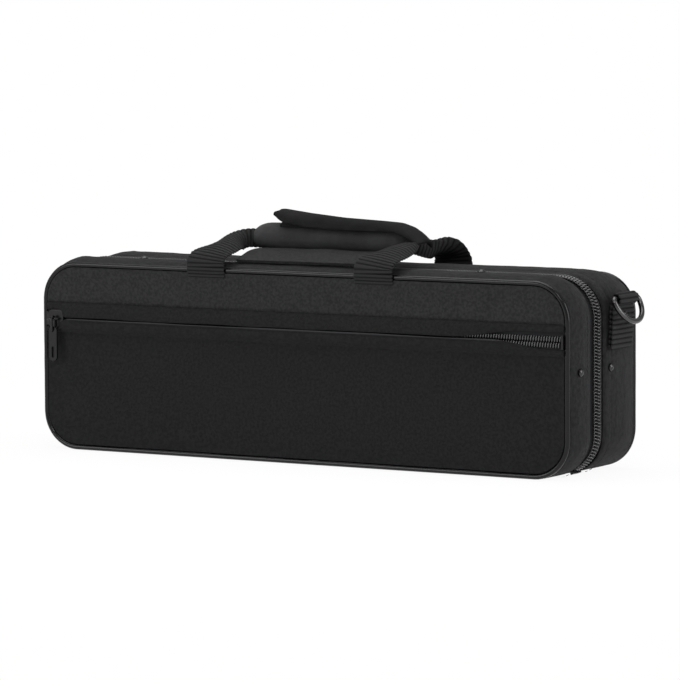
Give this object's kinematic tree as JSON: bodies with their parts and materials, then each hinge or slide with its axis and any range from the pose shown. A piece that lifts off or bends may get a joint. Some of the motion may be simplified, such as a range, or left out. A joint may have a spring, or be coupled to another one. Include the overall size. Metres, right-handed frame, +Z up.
{
  "type": "flute case",
  "caption": "Soft-shell flute case: two padded half shells joined by a wraparound zip, a zipped front pocket, a wrapped carry grip, strap rings and fitted recesses.",
  "frame": {"origin": "middle of the bottom face, on the ground, halfway between the front and the back piping", "axes": "+X along the case's length to the end with the zip's start, +Z up, -Y towards the pocket, so the lid is the half at -Y"},
  "size_m": [0.4536, 0.1051, 0.1657],
  "materials": {
    "nylon_cloth": "woven nylon, matt",
    "padded_cloth": "padded woven nylon, matt",
    "webbing": "ribbed nylon webbing",
    "zip_tape": "woven tape",
    "plush_lining": "short plush over foam",
    "hook_tape": "hook tape",
    "loop_tape": "loop tape",
    "board": "stiff foam board",
    "vinyl_piping": "smooth vinyl, low sheen",
    "zip_coil": "moulded nylon coil",
    "dark_metal": "black enamelled metal",
    "steel_rivet": "polished steel"
  },
  "bodies": {
    "base": {"base_shell": "board", "base_gusset": "nylon_cloth", "back_panel": "nylon_cloth", "base_piping": "vinyl_piping", "flute_cradle": "plush_lining", "base_zip_tape": "zip_tape", "base_zip_coil": "zip_coil", "base_zip_stops": "dark_metal", "base_hinge_leaf": "nylon_cloth", "base_rivets": "steel_rivet", "rear_handle_feet": "webbing", "right_ring_tab": "webbing", "left_ring_tab": "webbing", "tab_rivets": "steel_rivet"},
    "lid": {"lid_shell": "board", "lid_gusset": "nylon_cloth", "front_panel": "nylon_cloth", "lid_piping": "vinyl_piping", "lid_pad": "plush_lining", "lid_zip_tape": "zip_tape", "lid_zip_coil": "zip_coil", "lid_zip_stops": "dark_metal", "lid_hinge_leaf": "nylon_cloth", "lid_rivets": "steel_rivet", "front_handle_feet": "webbing", "pocket_header": "nylon_cloth", "pocket_panel": "nylon_cloth", "pocket_zip_tape": "zip_tape", "pocket_zip_coil": "zip_coil", "pocket_zip_stops": "dark_metal"},
    "main_slider": {"main_slider": "dark_metal"},
    "main_pull": {"main_pull": "dark_metal"},
    "right_ring": {"right_d_ring": "dark_metal"},
    "left_ring": {"left_d_ring": "dark_metal"},
    "rear_handle": {"rear_handle_strap": "webbing"},
    "pocket_slider": {"pocket_slider": "dark_metal"},
    "pocket_pull": {"pocket_pull": "dark_metal"},
    "front_handle": {"front_handle_strap": "webbing", "grip_sleeve": "padded_cloth", "grip_hook_patch": "hook_tape"},
    "grip_flap": {"grip_flap": "padded_cloth", "grip_loop_patch": "loop_tape"},
    "zip_flap": {"zip_flap": "nylon_cloth"}
  },
  "joints": [
    {"name": "lid_hinge", "type": "hinge", "parent": "base", "child": "lid", "pos_m": [0, -0.009, -0.00015], "axis": [1, 0, 0], "range_deg": [0, 180]},
    {"name": "main_zip_slide", "type": "slide", "parent": "base", "child": "main_slider", "axis": [0, 0, 1], "range_m": [0, 0.047]},
    {"name": "main_pull_swing", "type": "hinge", "parent": "main_slider", "child": "main_pull", "pos_m": [-0.2142, -0.009, 0.047], "axis": [0, 1, 0], "range_deg": [0, 165]},
    {"name": "right_ring_swing", "type": "hinge", "parent": "base", "child": "right_ring", "pos_m": [0.21705, 0.018, 0.1176], "axis": [0, -1, 0], "range_deg": [-19, 130]},
    {"name": "left_ring_swing", "type": "hinge", "parent": "base", "child": "left_ring", "pos_m": [-0.21705, 0.018, 0.1176], "axis": [0, 1, 0], "range_deg": [-19, 130]},
    {"name": "rear_handle_swing", "type": "hinge", "parent": "base", "child": "rear_handle", "pos_m": [0, 0.05025, 0.1323], "axis": [-1, 0, 0], "range_deg": [0, 180]},
    {"name": "front_handle_swing", "type": "hinge", "parent": "lid", "child": "front_handle", "pos_m": [0, -0.05025, 0.1323], "axis": [1, 0, 0], "range_deg": [0, 180]},
    {"name": "grip_flap_hinge", "type": "hinge", "parent": "front_handle", "child": "grip_flap", "pos_m": [0, 0.0052, 0.1636], "axis": [-1, 0, 0], "range_deg": [0, 150]},
    {"name": "zip_flap_flex", "type": "hinge", "parent": "lid", "child": "zip_flap", "pos_m": [0, -0.037, 0.13605], "axis": [1, 0, 0], "range_deg": [-18, 10]},
    {"name": "pocket_zip_slide", "type": "slide", "parent": "lid", "child": "pocket_slider", "axis": [1, 0, 0], "range_m": [0, 0.3958]},
    {"name": "pocket_pull_swing", "type": "hinge", "parent": "pocket_slider", "child": "pocket_pull", "pos_m": [-0.19795, -0.0528, 0.092], "axis": [-1, 0, 0], "range_deg": [0, 165]}
  ]
}
